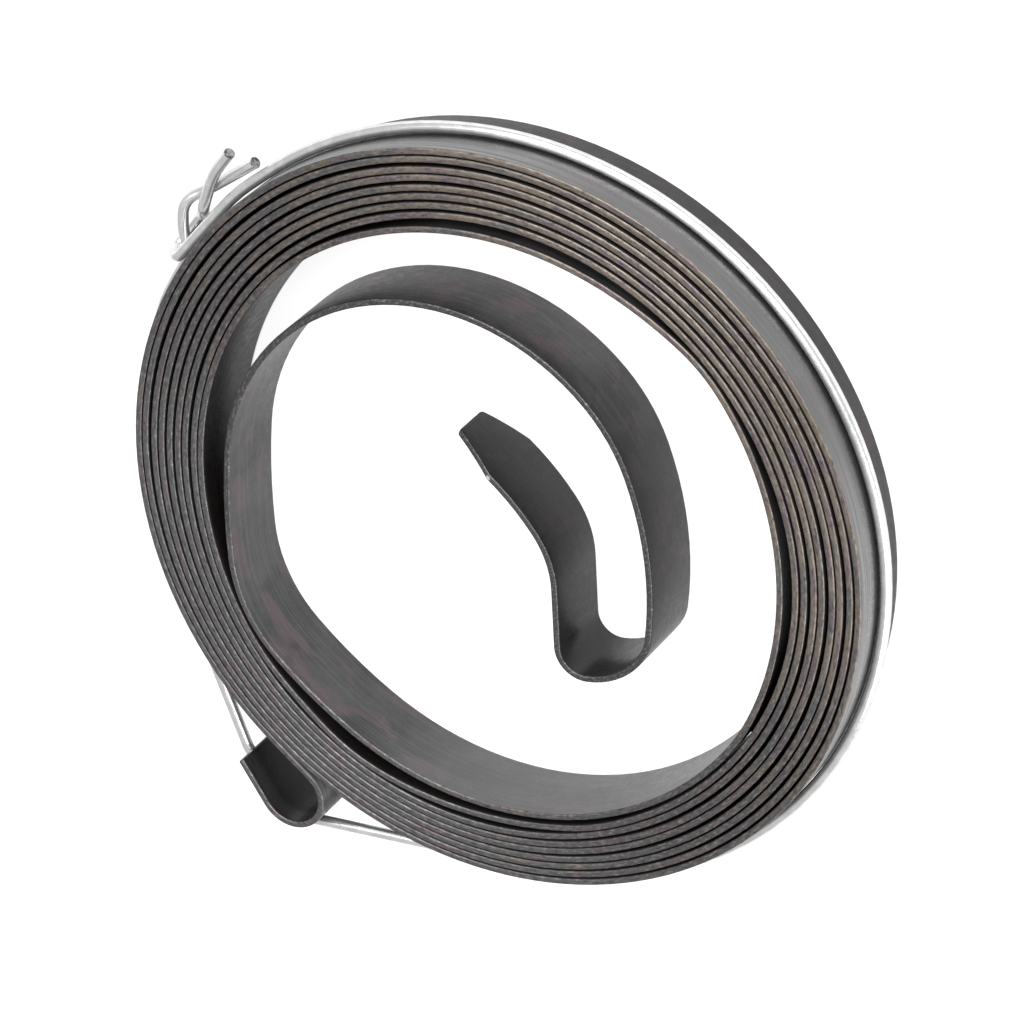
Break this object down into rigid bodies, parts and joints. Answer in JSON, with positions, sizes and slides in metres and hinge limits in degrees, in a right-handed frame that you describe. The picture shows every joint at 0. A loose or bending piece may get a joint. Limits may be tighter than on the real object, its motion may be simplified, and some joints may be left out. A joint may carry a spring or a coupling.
{
  "type": "recoil starter spring",
  "caption": "Flat spiral power spring wound from one steel strip, with an inner hook, an outer U-hook and a tie wire that keeps it coiled; rewinds the rope of a pull starter.",
  "frame": {"origin": "on the coil's axis, at the strip's lower edge, on which the spring lies", "axes": "+Z along the coil's axis, upwards; the strip winds counter-clockwise from the inside out, seen from +Z; the outer hook stands on the -Y side and the wire's knot on the -X side"},
  "size_m": [0.0793, 0.083, 0.008],
  "materials": {
    "spring_steel": "hardened and tempered dark grey strip, satin, with brown and purple tempering tints on its rounded edges",
    "galvanised_wire": "bright galvanised wire"
  },
  "bodies": {
    "root": {"spring_strip": "spring_steel", "tie_wire": "galvanised_wire"}
  },
  "joints": []
}
